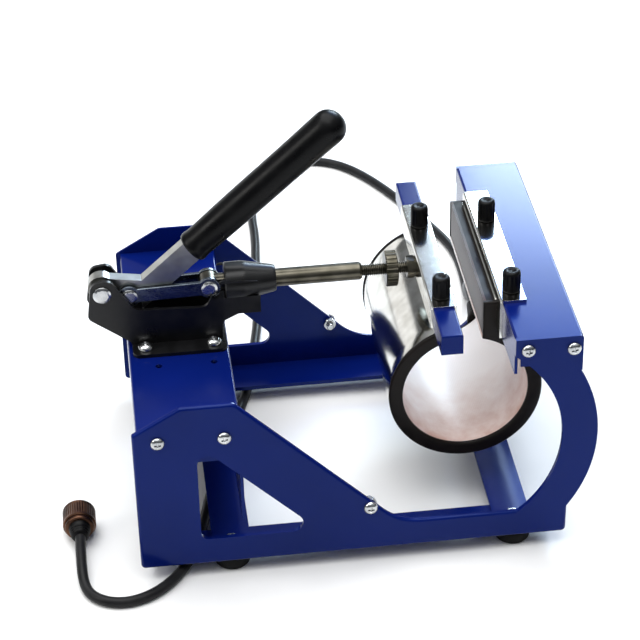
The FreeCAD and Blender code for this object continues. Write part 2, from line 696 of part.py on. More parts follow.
def plug_ring():
    """Knurled coupling ring of the connector: it turns on the body's neck."""
    x, y, z = plug_place()
    y0 = y + PLUG_SLEEVE + PLUG_FLANGE + 0.2
    ring = turned([(0.0, PLUG_R - 0.8), (0.8, PLUG_R), (PLUG_RING - 0.8, PLUG_R), (PLUG_RING, PLUG_R - 0.8)],
                  (x, y0, z), (0, 1, 0))
    neck_end = PLUG_BODY - PLUG_FLANGE
    ring = ring.cut(rod((x, y0 - 1, z), (0, 1, 0), 8.6 + RUN, neck_end + 1))
    return ring.cut(rod((x, y0 + neck_end, z), (0, 1, 0), 9.4, PLUG_RING))


def plug_pins():
    """Insulating disc with four contact pins, inside the coupling ring."""
    x, y, z = plug_place()
    face = y + PLUG_SLEEVE + PLUG_BODY
    circle = 3.4
    parts = [rod((x, face, z), (0, 1, 0), 6.5, 1.5)]
    for i in range(4):
        turn = math.radians(45 + 90 * i)
        place = (x + circle * math.cos(turn), face + 1, z + circle * math.sin(turn))
        parts.append(rod(place, (0, 1, 0), 0.9, 4.0))
    return fused(parts)


# ---- assembly -----------------------------------------------------------------------
def nodes():
    bracket_foot = BAR_Z[0] - BRACKET_T
    fixed_seat = JAW_TOP + BRACKET_T
    fixed_foot = JAW_TOP - SHEET_T - 4.5
    moving_seat = JAW_TOP + SADDLE_T
    bar_x = moving_stud_x()
    model = {
        "front_side_plate": drilled_plate(0.0, 1),
        "rear_side_plate": drilled_plate(SPAN - PLATE_T, -1),
        "tower_channel": tower_channel(),
        "jaw_channel": jaw_channel(),
        "tower_cross_strip": cross_strip(SCREW_X_FEET[0]),
        "arm_cross_strip": cross_strip(SCREW_X_FEET[1]),
        "rubber_feet": [rubber_foot(place) for place in FOOT_PLACES],
        "foot_screws": [foot_screw(place) for place in FOOT_PLACES],
        "foot_nuts": [foot_nut(place) for place in FOOT_PLACES],
        "tower_screws": both_sides(TOWER_SCREWS, side_screw),
        "jaw_channel_screws": both_sides(JAW_SCREWS, side_screw),
        "stop_bolts": both_sides([STOP_BOLT], side_screw),
        "stop_bolt_nuts": stop_nuts(),
        "clamp_base": clamp_base(),
        "clamp_barrel": clamp_barrel(),
        "clamp_bolts": [clamp_bolt(place) for place in CLAMP_BOLTS],
        "clamp_nuts": [clamp_nut(place) for place in CLAMP_BOLTS],
        "ear_pin": cross_pin(PIVOT_A, EAR_PIN_R, CHEEK_IN + CHEEK_T, 6.0, 2.0),
        "handle_lever": handle_lever(),
        "handle_grip": handle_grip(),
        "crank_pin": cross_pin(PIVOT_B, PIN_R, LEVER_T / 2 + 0.6 + LINK_T, 5.4, 1.2),
        "toggle_links": [toggle_link(y0, y1) for y0, y1 in link_layers()],
        "link_pin_heads": [link_head(y0, y1) for y0, y1 in link_layers()],
        "plunger": plunger(),
        "plunger_pin": plunger_pin(),
        "spindle": spindle(),
        "spindle_lock_nut": hex_nut((BAR_X[0] - SADDLE_T, MID_Y, ROD_Z), (-1, 0, 0), 13.0, 5.5, SPINDLE_R),
        "pressure_nut": pressure_nut(),
        "jaw_bar": jaw_bar(),
        "jaw_saddle": jaw_saddle(),
        "moving_bracket": moving_bracket(),
        "moving_studs": [stud(bar_x, y, bracket_foot, moving_seat + STUD_IN_KNOB) for y in KNOB_Y],
        "fixed_bracket": fixed_bracket(),
        "fixed_studs": [stud(FIXED_KNOB_X, y, fixed_foot, fixed_seat + STUD_IN_KNOB) for y in KNOB_Y],
        "fixed_stud_nuts": [stud_nut(FIXED_KNOB_X, y, JAW_TOP - SHEET_T) for y in KNOB_Y],
        "heater_liner": heater_liner(),
        "heater_mat": heater_layer(1),
        "heater_pad": heater_layer(2),
        "heater_shell": heater_layer(3),
        "lead_boot": lead_boot(),
        "heater_lead": heater_lead(),
        "plug_sleeve": plug_sleeve(),
        "plug_body": plug_body(),
        "plug_ring": plug_ring(),
        "plug_pins": plug_pins(),
    }
    for name, y in zip(("front", "rear"), KNOB_Y):
        model["fixed_thumb_nut_" + name] = thumb_nut(FIXED_KNOB_X, y, fixed_seat)
        model["moving_thumb_nut_" + name] = thumb_nut(bar_x, y, moving_seat)
    return model


def main():
    os.makedirs("parts", exist_ok=True)
    whole = FreeCAD.BoundBox()
    for name, shape in nodes().items():
        solid = Part.makeCompound(shape) if isinstance(shape, list) else shape
        bad = [s for s in solid.Solids if not s.isValid() or s.Volume <= 0]
        if bad or not solid.Solids:
            print("check this node:", name, len(solid.Solids))
        solid.exportStep("parts/%s.step" % name)
        if not name.startswith(("plug_", "heater_lead")):
            whole.add(solid.BoundBox)
    print("box without the lead: X %.2f %.2f  Y %.2f %.2f  Z %.2f %.2f"
          % (whole.XMin, whole.XMax, whole.YMin, whole.YMax, whole.ZMin, whole.ZMax))


main()
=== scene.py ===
import collections
import math

import bmesh
import bpy
from mathutils import Matrix, Vector


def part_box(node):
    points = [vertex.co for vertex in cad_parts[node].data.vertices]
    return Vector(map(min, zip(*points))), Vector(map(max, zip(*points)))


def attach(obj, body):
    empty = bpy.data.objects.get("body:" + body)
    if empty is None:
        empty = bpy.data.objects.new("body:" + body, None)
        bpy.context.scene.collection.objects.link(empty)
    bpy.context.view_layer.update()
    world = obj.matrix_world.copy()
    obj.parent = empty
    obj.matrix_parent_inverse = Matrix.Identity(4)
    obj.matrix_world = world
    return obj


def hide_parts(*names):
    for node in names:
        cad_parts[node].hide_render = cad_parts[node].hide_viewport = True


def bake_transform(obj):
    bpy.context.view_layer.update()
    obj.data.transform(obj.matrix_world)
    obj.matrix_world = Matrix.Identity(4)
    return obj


bl_info = {
    "name": "Mug heat press",
    "version": (1, 0, 0),
    "blender": (4, 5, 0),
    "location": "View3D > Sidebar > Mug Press",
    "description": "Builds the finished pieces of a mug heat press around its fixed engineering model",
    "category": "Object",
}

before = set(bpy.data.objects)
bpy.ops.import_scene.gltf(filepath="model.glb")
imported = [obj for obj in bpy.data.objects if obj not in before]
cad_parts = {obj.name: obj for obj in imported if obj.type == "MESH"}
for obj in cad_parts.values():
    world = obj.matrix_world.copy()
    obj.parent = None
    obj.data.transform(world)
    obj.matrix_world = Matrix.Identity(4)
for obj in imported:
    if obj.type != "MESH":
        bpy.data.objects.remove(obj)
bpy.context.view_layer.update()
MM = 0.001

# The loop around the mug, from its bore outwards, in millimetres: cloth, heating mat, foam, steel.
CLOTH_T = 0.6
MAT_T = 1.6
FOAM_T = 5.8
STEEL_T = 1.0
HALF_SLOT = 10.5

# Radius and height of the screws' heads, and the radius of their shanks, in metres.
PAN_HEAD = (4.6 * MM, 3.0 * MM)
CLAMP_HEAD = (5.0 * MM, 3.6 * MM)
SHANK_R = 2.4 * MM

# Rounding of small plated parts, and of heavier plated or polished ones.
FINE_EDGE = 0.15 * MM
PLATED_EDGE = 0.3 * MM

# How far the lever leans from the floor at rest.
LEVER_LEAN = math.radians(41.6)


# ---- sizes and colours a user may change ----------------------------------------------
def hex_colour(label, what, value):
    return bpy.props.StringProperty(name=label, description=what + ", sRGB hex", default=value)


def length(label, what, value_mm):
    return bpy.props.FloatProperty(name=label, description=what, default=value_mm * MM, unit="LENGTH",
                                   precision=5)


def position(label, what, value):
    return bpy.props.FloatVectorProperty(name=label, description=what, default=value, subtype="TRANSLATION",
                                         unit="LENGTH")


class PressFinish(bpy.types.PropertyGroup):
    """Colours of the press."""
    paint: hex_colour("Paint", "Powder coat of the sheet metal", "#051760")
    clamp: hex_colour("Clamp", "Enamel of the stamped clamp", "#0B0B0C")
    grip: hex_colour("Grip", "Vinyl of the handle grip", "#070708")
    cloth: hex_colour("Liner cloth", "Non-stick cloth in the bore", "#FAF5F2")
    mat: hex_colour("Heating mat", "Silicone heating mat", "#3E2A22")


class PressSizes(bpy.types.PropertyGroup):
    """Small sizes that the engineering model leaves out."""
    fold_edge: length("Sheet edge", "Rounding of a painted sheet edge", 0.5)
    cast_edge: length("Stamped edge", "Rounding of a stamped steel edge", 0.35)
    trim_proud: length("Trim overhang", "How far the loop's rubber trim covers the steel shell's edge", 3.0)
    thread_pitch: length("Spindle pitch", "Distance between the spindle's thread crests", 1.25)
    recess_depth: length("Recess depth", "Depth of the cross recess in a screw head", 1.5)


class PressStage(bpy.types.PropertyGroup):
    """Camera and floor."""
    lens: bpy.props.FloatProperty(
        name="Lens", description="Focal length on a 36 mm sensor", default=128.0, unit="CAMERA")
    camera_place: position("Camera place", "Where the camera stands", (-0.1396, -1.2635, 0.950))
    camera_aim: position("Camera aim", "Point that the camera looks at", (-0.004, 0.02, 0.105))
    camera_roll: bpy.props.FloatProperty(
        name="Camera roll", description="Turn about the line of sight", default=math.radians(-1.4),
        subtype="ANGLE", unit="ROTATION")
    floor: hex_colour("Floor", "Colour of the floor", "#F2F2F1")


def finish():
    return bpy.context.scene.press_finish


# ---- materials ------------------------------------------------------------------------
def linear(hex_colour, alpha=1.0):
    """sRGB hex to the linear colour that shaders use."""
    channels = [int(hex_colour[i:i + 2], 16) / 255 for i in (1, 3, 5)]
    return tuple(c / 12.92 if c <= 0.04045 else ((c + 0.055) / 1.055) ** 2.4 for c in channels) + (alpha,)


def grey(value):
    return (value, value, value, 1)


def shaded(colour, share):
    """A colour darkened to a share of its strength."""
    return tuple(channel * share for channel in colour[:3]) + (1,)


def add(tree, kind, values=None, links=None, **options):
    """Add a node: `options` are its settings, `values` its sockets' values, `links` what feeds them."""
    made = tree.nodes.new(kind)
    for key, value in options.items():
        setattr(made, key, value)
    for key, value in (values or {}).items():
        made.inputs[key].default_value = value
    for key, source in (links or {}).items():
        tree.links.new(source, made.inputs[key])
    return made


def ramp(tree, factor, low, high, dark, light):
    """Blend two colours as a factor goes from `low` to `high`."""
    made = add(tree, "ShaderNodeValToRGB", links={"Fac": factor})
    made.color_ramp.elements[0].position = low
    made.color_ramp.elements[0].color = dark
    made.color_ramp.elements[1].position = high
    made.color_ramp.elements[1].color = light
    return made.outputs["Color"]


def noise(tree, size_mm, detail=3.0, stretch=(1, 1, 1), rough=0.5):
    """Noise in object space whose features are about `size_mm` across."""
    place = add(tree, "ShaderNodeTexCoord").outputs["Object"]
    turned = add(tree, "ShaderNodeMapping", {"Scale": stretch}, {"Vector": place})
    return add(tree, "ShaderNodeTexNoise",
               {"Scale": 1.0 / (size_mm * MM), "Detail": detail, "Roughness": rough},
               {"Vector": turned.outputs["Vector"]}).outputs["Fac"]


def uneven(tree, factor, low, high, smoothest, roughest):
    """Roughness that goes between two values as a factor goes from `low` to `high`."""
    return ramp(tree, factor, low, high, grey(smoothest), grey(roughest))


def bump(tree, height, depth_mm):
    return add(tree, "ShaderNodeBump", {"Strength": 1.0, "Distance": depth_mm * MM},
               {"Height": height}).outputs["Normal"]


def surface(name, values, maker):
    """A material on one Principled shader. `maker(tree)` returns the sockets' sources by name."""
    found = bpy.data.materials.get(name)
    if found:
        return found
    material = bpy.data.materials.new(name)
    material.use_nodes = True
    tree = material.node_tree
    tree.nodes.clear()
    shader = add(tree, "ShaderNodeBsdfPrincipled", values, maker(tree))
    add(tree, "ShaderNodeOutputMaterial", links={"Surface": shader.outputs["BSDF"]})
    return material


def gloss_powder_coat():
    """Baked polyester powder on steel: deep even blue under a glossy skin with a slight orange peel."""
    def maker(tree):
        shade = noise(tree, 60, 2)
        colour = linear(finish().paint)
        dust = noise(tree, 0.9, 5)
        peel = noise(tree, 1.6, 1)
        return {"Base Color": ramp(tree, shade, 0.3, 0.7, shaded(colour, 0.82), colour),
                "Roughness": uneven(tree, dust, 0.35, 0.75, 0.15, 0.24),
                "Normal": bump(tree, peel, 0.012)}
    return surface("Gloss powder coat", {"IOR": 1.45, "Specular IOR Level": 0.32,
                                         "Specular Tint": linear("#9DBBFF")}, maker)


def satin_enamel():
    """Dipped black enamel on stamped steel: satin, thin on the edges, with fine grain."""
    def maker(tree):
        grain = noise(tree, 0.5, 4)
        patch = noise(tree, 14, 3)
        return {"Base Color": ramp(tree, patch, 0.45, 0.85, linear(finish().clamp), linear("#18181A")),
                "Roughness": uneven(tree, patch, 0.3, 0.8, 0.26, 0.42),
                "Normal": bump(tree, grain, 0.02)}
    return surface("Satin black enamel", {"IOR": 1.5, "Specular IOR Level": 0.35}, maker)


def metal(name, light, dark, rough, grain_mm, stretch, depth_mm):
    """Bare or plated metal: two tones, uneven polish and a grain, raised where it has a depth."""
    def maker(tree):
        tone = noise(tree, 9, 1)
        grain = noise(tree, grain_mm, 1, stretch)
        made = {"Base Color": ramp(tree, tone, 0.3, 0.75, linear(dark), linear(light)),
                "Roughness": uneven(tree, grain, 0.3, 0.7, rough * 0.92, rough * 1.09)}
        if depth_mm:
            made["Normal"] = bump(tree, grain, depth_mm)
        return made
    return surface(name, {"Metallic": 1.0}, maker)


def rolled_steel():
    """Cold-rolled bar: smooth, dull silver, faintly cloudy."""
    return metal("Rolled steel bar", "#B2B2AE", "#9A9A95", 0.3, 2.5, (1, 1, 1), 0.0)


def olive_zinc():
    """Zinc plate with an olive passivation, as on the push rod and its nuts."""
    return metal("Olive passivated zinc", "#69655A", "#47443A", 0.3, 0.8, (1, 1, 1), 0.002)


def link_steel_painted_reflection():
    """Spring steel of the two links: faces darkened and tinted blue, a painted reflection, and bright rounded
    edges.
    """
    return metal("Link steel with painted reflection", "#737B85", "#545B64", 0.26, 2.0, (0.3, 1, 1), 0.0)


def bright_zinc():
    """Bright zinc plate on screws and nuts."""
    return metal("Bright zinc plate", "#D8D9D8", "#AEB0B2", 0.22, 0.6, (1, 1, 1), 0.002)


def polished_stainless():
    """Mirror-finished stainless sheet with a faint polishing grain along the loop."""
    return metal("Polished stainless sheet", "#DCDBD6", "#C2C0B9", 0.13, 0.35, (1, 0.06, 1), 0.004)


def bronzed_brass():
    """Brass shell of the connector, bronzed dark brown, with lighter rubbed knurls."""
    return metal("Bronzed brass", "#6B4C3C", "#35261F", 0.34, 0.6, (1, 1, 1), 0.003)


def gilt_contact():
    """Gold-flashed brass of the connector's contacts."""
    return metal("Gold flashed brass", "#C79A4B", "#8C6426", 0.3, 0.4, (1, 1, 1), 0.004)


def moulded(name, colour, rough, grain_mm, depth_mm, spread="#161617"):
    """Moulded plastic or rubber: fine tool grain and uneven sheen."""
    def maker(tree):
        grain = noise(tree, grain_mm, 4)
        patch = noise(tree, 11, 3)
        return {"Base Color": ramp(tree, patch, 0.4, 0.95, linear(colour), linear(spread)),
                "Roughness": uneven(tree, patch, 0.3, 0.7, rough * 0.85, rough * 1.2),
                "Normal": bump(tree, grain, depth_mm)}
    return surface(name, {"IOR": 1.48, "Specular IOR Level": 0.14}, maker)


def vinyl_grip():
    """Dip-moulded vinyl: black, smooth and softly glossy, with slight runs along its length."""
    return moulded("Dipped vinyl grip", finish().grip, 0.3, 2.5, 0.05, "#0B0B0C")


def black_nylon():
    """Injection-moulded nylon of the thumb nuts, with a faint spark-eroded grain."""
    return moulded("Moulded black nylon", "#070708", 0.38, 0.35, 0.03, "#0C0C0D")


def foot_rubber():
    """Matt moulded rubber."""
    return moulded("Moulded foot rubber", "#131313", 0.7, 0.4, 0.04)


def edge_silicone():
    """Black silicone trim over the foam at the loop's ends: satin, slightly brown."""
    return moulded("Black silicone trim", "#120E0C", 0.36, 0.8, 0.03, "#1C1613")


def cable_jacket():
    """Grey-black rubber flex."""
    return moulded("Rubber cable jacket", "#1A1A1B", 0.38, 0.6, 0.03, "#2A2A2B")


def woven(name, light, dark, thread_mm, rough, depth_mm, values, painted_shade_span=None):
    """Cloth or cloth-faced rubber: crossed threads in the surface's own UV, in metres.
    The last argument gives the stretch of V, in metres, over which the dark colour, a painted shade, fades
    out."""
    def maker(tree):
        place = add(tree, "ShaderNodeUVMap", uv_map="cloth").outputs["UV"]
        waves = []
        for turn in (0.0, math.pi / 2):
            laid = add(tree, "ShaderNodeMapping", {"Rotation": (0, 0, turn)}, {"Vector": place})
            wave = add(tree, "ShaderNodeTexWave", {"Scale": math.pi / (10 * thread_mm * MM)},
                       {"Vector": laid.outputs["Vector"]}, wave_type="BANDS", bands_direction="X")
            waves.append(wave.outputs["Fac"])
        crossed = add(tree, "ShaderNodeMath", links={0: waves[0], 1: waves[1]},
                      operation="MAXIMUM").outputs[0]
        stain_and_shade = noise(tree, 22, 4, rough=0.6)
        stain_and_shade_from = 0.38
        # Painted shade: with a V stretch, the stain fades out along it and the dark colour starts lower, so
        # the cloth darkens towards the stretch's front end.
        if painted_shade_span:
            stain_and_shade_from = 0.1
            along = add(tree, "ShaderNodeSeparateXYZ", links={"Vector": place}).outputs["Y"]
            fade = add(tree, "ShaderNodeMapRange", {"From Min": painted_shade_span[1], "From Max": painted_shade_span[0]},
                       {"Value": along}).outputs["Result"]
            stain_and_shade = add(tree, "ShaderNodeMath", links={0: stain_and_shade, 1: fade}, operation="MULTIPLY").outputs[0]
        return {"Base Color": ramp(tree, stain_and_shade, stain_and_shade_from, 0.72, linear(light), linear(dark)),
                "Roughness": uneven(tree, crossed, 0.2, 1.0, rough * 1.15, rough * 0.85),
                "Normal": bump(tree, crossed, depth_mm)}
    return surface(name, values, maker)


def liner_cloth():
    """Non-stick coated glass cloth: pale and slightly glossy, with painted shade that browns it towards its
    front end.
    Its threads are drawn at 1.2 mm, coarser than real ones, so that they show."""
    # The dark colour and the V stretch are painted shade: browner at the bore's front end, where less light
    # reaches.
    return woven("Non-stick glass cloth", finish().cloth, "#C08F7C", 1.2, 0.36, 0.03,
                 {"IOR": 1.38, "Sheen Weight": 0.15}, (-0.056, 0.03))


def heating_mat():
    """Silicone rubber with a woven glass core that prints through as a fine grid."""
    return woven("Woven silicone mat", finish().mat, "#1C1411", 1.4, 0.42, 0.05,
                 {"IOR": 1.43, "Specular IOR Level": 0.3})


# ---- mesh tools -----------------------------------------------------------------------
def linked(name, mesh):
    """A linked object, for a piece or for a shape that is removed once it has been used."""
    made = bpy.data.objects.new(name, mesh)
    bpy.context.scene.collection.objects.link(made)
    return made


def piece(name, mesh, material, body=None, stands_for=(), angle=None):
    """Make an object of a finished mesh, paint it, and hang it on its body.
    Edges up to `angle` degrees are shaded smooth."""
    made = linked(name, mesh)
    if angle:
        smooth(mesh, angle)
    if material is not None:
        mesh.materials.clear()
        mesh.materials.append(material)
    if body:
        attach(made, body)
    if stands_for:
        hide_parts(*stands_for)
    return made


def smooth(mesh, angle):
    mesh.shade_smooth()
    mesh.set_sharp_from_angle(angle=math.radians(angle))


def mesh_of(name, points, faces):
    mesh = bpy.data.meshes.new(name)
    mesh.from_pydata([tuple(p) for p in points], [], faces)
    mesh.update()
    return mesh


def outward(mesh, merge=True):
    """Merge doubles and turn every face outwards."""
    shell = bmesh.new()
    shell.from_mesh(mesh)
    if merge:
        bmesh.ops.remove_doubles(shell, verts=shell.verts, dist=1e-7)
    bmesh.ops.recalc_face_normals(shell, faces=shell.faces)
    shell.to_mesh(mesh)
    shell.free()
    return mesh


def aligned(start, direction):
    """Matrix that puts a +Z shape at `start`, along `direction`."""
    turn = Vector((0, 0, 1)).rotation_difference(Vector(direction)).to_matrix().to_4x4()
    return Matrix.Translation(Vector(start)) @ turn


def in_mm(*profile):
    """Profile points given in millimetres."""
    return [(along * MM, radius * MM) for along, radius in profile]


def lathe(name, profile, start, direction, steps=64, wobble=None, bored=False):
    """Closed turned shape. `profile` is (distance along the axis, radius); `wobble` reshapes a radius.
    A bored shape has a profile that closes on itself; any other gets a cap at each end."""
    points = []
    faces = []
    for along, radius in profile:
        for i in range(steps):
            turn = 2 * math.pi * i / steps
            reach = wobble(along, radius, turn) if wobble else radius
            points.append((reach * math.cos(turn), reach * math.sin(turn), along))
    last = len(profile) - 1
    for row in range(len(profile) if bored else last):
        above = (row + 1) % len(profile)
        for i in range(steps):
            j = (i + 1) % steps
            faces.append((row * steps + i, row * steps + j, above * steps + j, above * steps + i))
    for row in () if bored else (0, last):
        if profile[row][1] > 1e-6:
            points.append((0, 0, profile[row][0]))
            centre = len(points) - 1
            faces += [(row * steps + i, row * steps + (i + 1) % steps, centre) for i in range(steps)]
    mesh = outward(mesh_of(name, points, faces))
    mesh.transform(aligned(start, direction))
    return mesh


def quarter(centre_along, centre_radius, size, first, last, steps=5):
    """Profile points on an arc, angles in degrees from the outward radius towards +axis."""
    made = []
    for i in range(steps + 1):
        turn = math.radians(first + (last - first) * i / steps)
        made.append((centre_along + size * math.sin(turn), centre_radius + size * math.cos(turn)))
    return made


def joined(name, meshes):
    shell = bmesh.new()
    for mesh in meshes:
        shell.from_mesh(mesh)
    made = bpy.data.meshes.new(name)
    shell.to_mesh(made)
    shell.free()
    return made


def extent(node):
    """A part's lowest corner, its middle and its size."""
    low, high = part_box(node)
    return low, (low + high) / 2, high - low


def welded(node):
    """An engineering part's mesh, its doubled corners merged."""
    shell = bmesh.new()
    shell.from_mesh(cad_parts[node].data)
    bmesh.ops.remove_doubles(shell, verts=shell.verts, dist=2e-6)
    return shell


def eased_copy(node, edge, material, body, segments=2, sharp=32.0):
    """A copy of an engineering part with its edges rounded as a press or a paint film rounds them."""
    shell = welded(node)
    bmesh.ops.dissolve_limit(shell, angle_limit=math.radians(0.5), verts=shell.verts, edges=shell.edges)
    bmesh.ops.recalc_face_normals(shell, faces=shell.faces)
    least = math.radians(sharp)
    chosen = [e for e in shell.edges if len(e.link_faces) == 2 and e.calc_face_angle(0) > least]
    bmesh.ops.bevel(shell, geom=chosen, offset=edge, offset_type="OFFSET", segments=segments, profile=0.5,
                    affect="EDGES", clamp_overlap=True)
    bmesh.ops.triangulate(shell, faces=[f for f in shell.faces if len(f.verts) > 4])
    mesh = bpy.data.meshes.new(node + "_finished")
    shell.to_mesh(mesh)
    shell.free()
    smooth(mesh, 40)
    made = piece(node + "_finished", mesh, material, body, (node,))
    level = made.modifiers.new("level_faces", "WEIGHTED_NORMAL")
    level.keep_sharp = True
    level.weight = 100
    return made


# ---- Geometry Nodes -------------------------------------------------------------------
def node_group(name, inputs):
    """An empty Geometry Nodes group with a geometry output and named inputs."""
    tree = bpy.data.node_groups.new(name, "GeometryNodeTree")
    tree.interface.new_socket(name="Geometry", in_out="OUTPUT", socket_type="NodeSocketGeometry")
    for label, kind in inputs:
        tree.interface.new_socket(name=label, in_out="INPUT", socket_type=kind)
    start = tree.nodes.new("NodeGroupInput")
    end = tree.nodes.new("NodeGroupOutput")
    return tree, start.outputs, end.inputs["Geometry"]


def finished(tree, placed, finish, result):
    """End a tree: make its instances real, give them their material and put them out."""
    real = add(tree, "GeometryNodeRealizeInstances", links={"Geometry": placed.outputs["Instances"]})
    painted = add(tree, "GeometryNodeSetMaterial",
                  links={"Geometry": real.outputs["Geometry"], "Material": finish})
    tree.links.new(painted.outputs["Geometry"], result)
    return tree


def fastener_tree():
    """Sets one fastener on each point, with its axis along the point's `facing` vector."""
    found = bpy.data.node_groups.get("Fasteners on points")
    if found:
        return found
    tree, given, result = node_group("Fasteners on points", [
        ("Geometry", "NodeSocketGeometry"), ("Fastener", "NodeSocketObject"), ("Size", "NodeSocketFloat"),
        ("Twist", "NodeSocketFloat"), ("Finish", "NodeSocketMaterial")])
    facing = add(tree, "GeometryNodeInputNamedAttribute", {"Name": "facing"}, data_type="FLOAT_VECTOR")
    shape = add(tree, "GeometryNodeObjectInfo", {"As Instance": True}, {"Object": given["Fastener"]})
    turn = add(tree, "FunctionNodeAlignRotationToVector", links={"Vector": facing.outputs["Attribute"]},
               axis="Z")
    index = add(tree, "GeometryNodeInputIndex")
    twist = add(tree, "ShaderNodeMath", links={0: index.outputs["Index"], 1: given["Twist"]},
                operation="MULTIPLY")
    about = add(tree, "FunctionNodeAxisAngleToRotation", {"Axis": (0, 0, 1)}, {"Angle": twist.outputs[0]})
    rotation = add(tree, "FunctionNodeRotateRotation",
                   links={"Rotation": turn.outputs["Rotation"], "Rotate By": about.outputs["Rotation"]},
                   rotation_space="LOCAL")
    placed = add(tree, "GeometryNodeInstanceOnPoints",
                 links={"Points": given["Geometry"], "Instance": shape.outputs["Geometry"],
                        "Rotation": rotation.outputs["Rotation"], "Scale": given["Size"]})
    return finished(tree, placed, given["Finish"], result)


def row_tree():
    """Repeats one ring along a line: thread crests, ribs of a strain relief, knurls."""
    found = bpy.data.node_groups.get("Rings in a row")
    if found:
        return found
    tree, given, result = node_group("Rings in a row", [
        ("Ring", "NodeSocketObject"), ("Count", "NodeSocketInt"), ("Start", "NodeSocketVector"),
        ("Step", "NodeSocketVector"), ("Finish", "NodeSocketMaterial")])
    line = add(tree, "GeometryNodeMeshLine",
               links={"Count": given["Count"], "Start Location": given["Start"], "Offset": given["Step"]},
               mode="OFFSET")
    shape = add(tree, "GeometryNodeObjectInfo", {"As Instance": True}, {"Object": given["Ring"]})
    placed = add(tree, "GeometryNodeInstanceOnPoints",
                 links={"Points": line.outputs["Mesh"], "Instance": shape.outputs["Geometry"]})
    return finished(tree, placed, given["Finish"], result)


def evaluated(made):
    """An object's mesh with its modifiers applied. The object is removed."""
    graph = bpy.context.evaluated_depsgraph_get()
    mesh = bpy.data.meshes.new_from_object(made.evaluated_get(graph), depsgraph=graph)
    made.modifiers.clear()
    bpy.data.objects.remove(made)
    return mesh


def grown(name, base_mesh, tree, values):
    """Run a Geometry Nodes tree on a mesh and return its result as a plain mesh."""
    carrier = linked(name, base_mesh)
    modifier = carrier.modifiers.new("Grow", "NODES")
    modifier.node_group = tree
    for socket in tree.interface.items_tree:
        if socket.in_out == "INPUT" and socket.name in values:
            modifier[socket.identifier] = values[socket.name]
    return evaluated(carrier)


def fasteners(name, pattern, seats, material, twist=0.9):
    """One mesh of fasteners from a pattern mesh and (place, facing) seats."""
    points = mesh_of(name + "_seats", [place for place, _ in seats], [])
    facing = points.attributes.new("facing", "FLOAT_VECTOR", "POINT")
    for i, (_, direction) in enumerate(seats):
        facing.data[i].vector = direction
    shape = linked(name + "_pattern", pattern)
    mesh = grown(name, points, fastener_tree(),
                 {"Fastener": shape, "Size": 1.0, "Twist": twist, "Finish": material})
    bpy.data.objects.remove(shape)
    smooth(mesh, 30)
    return mesh


def ring_row(name, ring, count, start, step, material):
    """One mesh of equal rings along a line."""
    shape = linked(name + "_ring", ring)
    mesh = grown(name, bpy.data.meshes.new(name + "_line"), row_tree(),
                 {"Ring": shape, "Count": count, "Start": start, "Step": step, "Finish": material})
    bpy.data.objects.remove(shape)
    smooth(mesh, 40)
    return mesh


# ---- fasteners ------------------------------------------------------------------------
def cut(mesh, tool):
    """Cut one closed mesh out of another."""
    body = linked("cut_body", mesh)
    knife = linked("cut_tool", tool)
    modifier = body.modifiers.new("Cut", "BOOLEAN")
    modifier.operation = "DIFFERENCE"
    modifier.object = knife
    modifier.solver = "EXACT"
    result = evaluated(body)
    bpy.data.objects.remove(knife)
    return result


def tapered_bar(width, reach, top, bottom, taper):
    """A bar of the cross recess, wider at its mouth than at its floor."""
    points = []
    for z, grow in ((top, 1.0), (bottom, taper)):
        x, y = reach * grow / 2, width * grow / 2
        points += [(-x, -y, z), (x, -y, z), (x, y, z), (-x, y, z)]
    faces = [(3, 2, 1, 0), (4, 5, 6, 7), (0, 1, 5, 4), (1, 2, 6, 5), (2, 3, 7, 6), (3, 0, 4, 7)]
    return outward(mesh_of("recess_bar", points, faces))


def cross_screw_head(radius, height, depth):
    """Pan head with a cross recess. Its seat is at z = 0."""
    rim = 0.12
    flat = 0.28
    rows = 8
    profile = [(-0.3 * MM, radius * 0.55), (0.0, radius * 0.93), (height * rim, radius)]
    for i in range(rows):
        turn = math.pi / 2 * (i + 1) / rows
        profile.append((height * (rim + (1 - rim) * math.sin(turn)),
                        radius * (flat + (1 - flat) * math.cos(turn))))
    head = lathe("pan_head", profile, (0, 0, 0), (0, 0, 1), 40)
    for turn in (0, math.pi / 2):
        bar = tapered_bar(radius * 0.3, radius * 1.05, height + 0.5 * MM, height - depth, 0.55)
        bar.transform(Matrix.Rotation(turn, 4, "Z"))
        head = cut(head, bar)
    return head


def hex_nut_shape(across, height, hole):
    """Hexagonal nut with both faces chamfered. Its seat is at z = 0."""
    corner = across / math.sqrt(3)

    def hexagon(along, radius, turn):
        flat = across / 2 / math.cos((turn + math.pi / 6) % (math.pi / 3) - math.pi / 6)
        return min(radius, flat)
    edge = height * 0.14
    profile = [(0.0, hole), (0.0, corner * 0.9), (edge, corner), (height - edge, corner),
               (height, corner * 0.9), (height, hole), (height * 0.5, hole * 0.97)]
    return lathe("hex_nut", profile, (0, 0, 0), (0, 0, 1), 48, hexagon, bored=True)


def seats_of(node, axis, outward_sign=None):
    """Where a node's fasteners sit: one (centre, direction) for each separate solid."""
    shell = welded(node)
    left = set(shell.verts)
    found = []
    while left:
        stack = [left.pop()]
        island = [stack[0]]
        while stack:
            for edge in stack.pop().link_edges:
                for other in edge.verts:
                    if other in left:
                        left.remove(other)
                        stack.append(other)
                        island.append(other)
        low = Vector([min(v.co[i] for v in island) for i in range(3)])
        high = Vector([max(v.co[i] for v in island) for i in range(3)])
        found.append((low, high))
    shell.free()
    found.sort(key=lambda pair: (round(pair[0].x, 4), round(pair[0].y, 4)))
    seats = []
    for low, high in found:
        centre = (low + high) / 2
        sign = outward_sign if outward_sign else (1 if centre[axis] > 0 else -1)
        place = centre.copy()
        place[axis] = high[axis] if sign > 0 else low[axis]
        direction = Vector((0, 0, 0))
        direction[axis] = sign
        seats.append((place, direction))
    return seats


